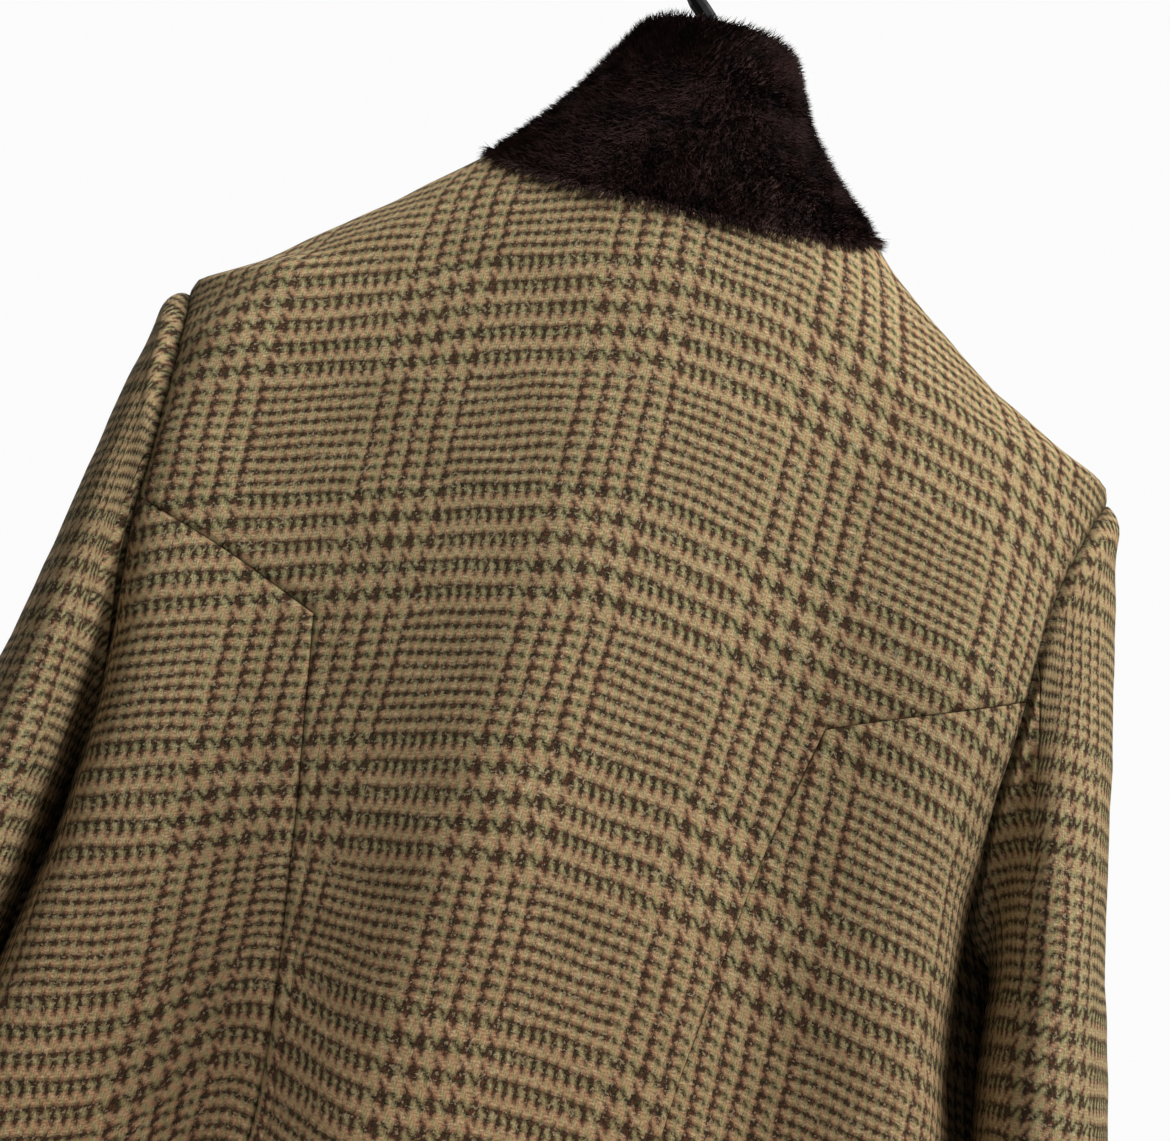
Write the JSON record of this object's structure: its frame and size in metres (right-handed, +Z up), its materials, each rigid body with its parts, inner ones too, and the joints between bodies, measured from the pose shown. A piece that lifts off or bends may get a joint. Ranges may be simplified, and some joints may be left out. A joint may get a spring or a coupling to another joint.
{
  "type": "fur-trimmed coat on a hanger",
  "caption": "Long flared coat of checked wool with a dark fur stand collar, set-in sleeves and a buttoned front, hanging on a black hanger with a hook.",
  "frame": {"origin": "inside top of the hanger's hook, where it rests on a rail", "axes": "+Z up, +Y towards the coat's back, +X towards the wearer's left"},
  "size_m": [0.6388, 0.2537, 1.1108],
  "materials": {
    "wool": "brushed tweed, checked in tan, olive and dark brown",
    "fur": "dense dark brown fur pile",
    "button": "semi-gloss",
    "hanger_black": "satin black"
  },
  "bodies": {
    "root": {"back_panel": "wool", "side_back_left": "wool", "side_back_right": "wool", "front_left": "wool", "front_right": "wool", "top_sleeve_left": "wool", "top_sleeve_right": "wool", "under_sleeve_left": "wool", "under_sleeve_right": "wool", "collar": "fur", "button_1": "button", "button_2": "button", "button_3": "button", "button_4": "button", "hanger": "hanger_black", "hook_socket": "hanger_black", "hook": "hanger_black"}
  },
  "joints": []
}
